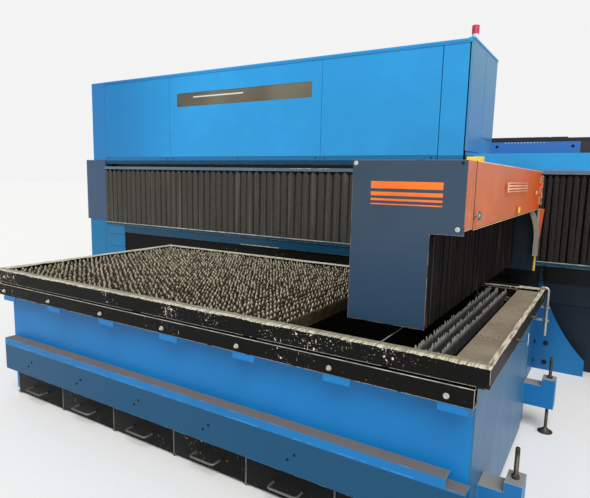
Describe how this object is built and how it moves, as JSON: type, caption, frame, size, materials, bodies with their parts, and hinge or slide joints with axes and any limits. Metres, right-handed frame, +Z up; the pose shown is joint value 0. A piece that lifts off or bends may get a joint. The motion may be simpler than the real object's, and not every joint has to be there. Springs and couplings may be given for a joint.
{
  "type": "laser cutting machine",
  "caption": "Flat-bed cutting machine: spiked slat table over scrap drawers, rear portal with bellows and housing, and a sliding arm with a hinged door and a cutting head.",
  "frame": {"origin": "on the floor, under the middle of the whole machine", "axes": "+X along the portal towards the cabinet end, +Y away from the operator, +Z up"},
  "size_m": [6.92, 3.64, 2.875],
  "materials": {
    "worn_black": "worn black paint with bare bright edges",
    "slag_steel": "cut sheet steel crusted with slag and dust",
    "dusty_steel": "dull plate under pale dust",
    "base_blue": "satin paint",
    "lower_blue": "satin paint with dust",
    "bright_blue": "satin paint",
    "side_blue": "satin paint",
    "teal_paint": "satin paint",
    "slate_paint": "satin paint",
    "navy_paint": "satin paint",
    "matt_black": "matt black paint",
    "orange_paint": "satin paint",
    "grey_steel": "dull steel",
    "ground_steel": "ground steel",
    "pale_zinc": "zinc plated",
    "chrome_rod": "bright plated",
    "smoked_pane": "smoked glossy pane",
    "red_lens": "ribbed red lens",
    "black_plastic": "moulded black plastic",
    "grey_plastic": "grey plastic",
    "copper_tip": "turned copper",
    "bellows_cloth": "coated folded cloth"
  },
  "bodies": {
    "root": {"table_frame": "worn_black", "spiked_slats": "slag_steel", "dust_plate": "dusty_steel", "base_tub": "base_blue", "support_rail": "worn_black", "rail_brackets": "base_blue", "rail_bolts": "pale_zinc", "front_skirt": "lower_blue", "skirt_ledge": "lower_blue", "drawer_runners": "grey_steel", "jack_brackets": "base_blue", "jack_screws": "grey_steel", "locating_pins": "chrome_rod", "clamp_hook": "chrome_rod", "portal_beam": "teal_paint", "guide_rails": "ground_steel", "bellows_rails": "slate_paint", "lower_beam": "teal_paint", "kick_plates": "matt_black", "floor_ties": "base_blue", "left_leg": "bright_blue", "band_cover": "slate_paint", "left_end_cover": "bright_blue", "right_leg": "bright_blue", "right_cabinet": "navy_paint", "housing_shell": "bright_blue", "front_panel_left": "bright_blue", "front_panel_middle": "bright_blue", "front_panel_right": "bright_blue", "window_pane": "smoked_pane", "corner_panel": "bright_blue", "side_panel": "side_blue", "laser_source": "ground_steel", "beacon_base": "pale_zinc", "beacon_lens": "red_lens", "beam_end_cover": "bright_blue", "chain_trough": "side_blue", "cable_chain": "black_plastic", "x_bellows_left": "bellows_cloth", "x_bellows_right": "bellows_cloth"},
    "arm": {"x_carriage": "slate_paint", "arm_beam": "slate_paint", "arm_rails": "ground_steel", "arm_front_plate": "slate_paint", "arm_cover": "orange_paint", "root_cover": "navy_paint", "hose_guard": "grey_plastic", "y_bellows_front": "bellows_cloth", "y_bellows_rear": "bellows_cloth"},
    "door": {"arm_door": "orange_paint"},
    "latch": {"door_latch": "chrome_rod"},
    "head_carriage": {"head_carriage": "black_plastic"},
    "head": {"cutting_head": "ground_steel", "nozzle": "copper_tip"},
    "drawer_1": {"scrap_drawer_1": "matt_black"},
    "drawer_2": {"scrap_drawer_2": "matt_black"},
    "drawer_3": {"scrap_drawer_3": "matt_black"},
    "drawer_4": {"scrap_drawer_4": "matt_black"},
    "drawer_5": {"scrap_drawer_5": "matt_black"},
    "drawer_6": {"scrap_drawer_6": "matt_black"}
  },
  "joints": [
    {"name": "arm_travel", "type": "slide", "parent": "root", "child": "arm", "axis": [1, 0, 0], "range_m": [-2.75, 0.3], "deforming": ["x_bellows_left", "x_bellows_right"]},
    {"name": "head_travel", "type": "slide", "parent": "arm", "child": "head_carriage", "axis": [0, 1, 0], "range_m": [0, 1.45], "deforming": ["y_bellows_front", "y_bellows_rear"]},
    {"name": "head_height", "type": "slide", "parent": "head_carriage", "child": "head", "axis": [0, 0, 1], "range_m": [-0.055, 0.04]},
    {"name": "door_swing", "type": "hinge", "parent": "arm", "child": "door", "pos_m": [2.029, 0.708, 1.541], "axis": [0, 0, 1], "range_deg": [0, 90]},
    {"name": "latch_turn", "type": "hinge", "parent": "door", "child": "latch", "pos_m": [2.021, -1.48, 1.46], "axis": [1, 0, 0], "range_deg": [0, 90]},
    {"name": "drawer_1_slide", "type": "slide", "parent": "root", "child": "drawer_1", "axis": [0, -1, 0], "range_m": [0, 1.1]},
    {"name": "drawer_2_slide", "type": "slide", "parent": "root", "child": "drawer_2", "axis": [0, -1, 0], "range_m": [0, 1.1]},
    {"name": "drawer_3_slide", "type": "slide", "parent": "root", "child": "drawer_3", "axis": [0, -1, 0], "range_m": [0, 1.1]},
    {"name": "drawer_4_slide", "type": "slide", "parent": "root", "child": "drawer_4", "axis": [0, -1, 0], "range_m": [0, 1.1]},
    {"name": "drawer_5_slide", "type": "slide", "parent": "root", "child": "drawer_5", "axis": [0, -1, 0], "range_m": [0, 1.1]},
    {"name": "drawer_6_slide", "type": "slide", "parent": "root", "child": "drawer_6", "axis": [0, -1, 0], "range_m": [0, 1.1]}
  ]
}
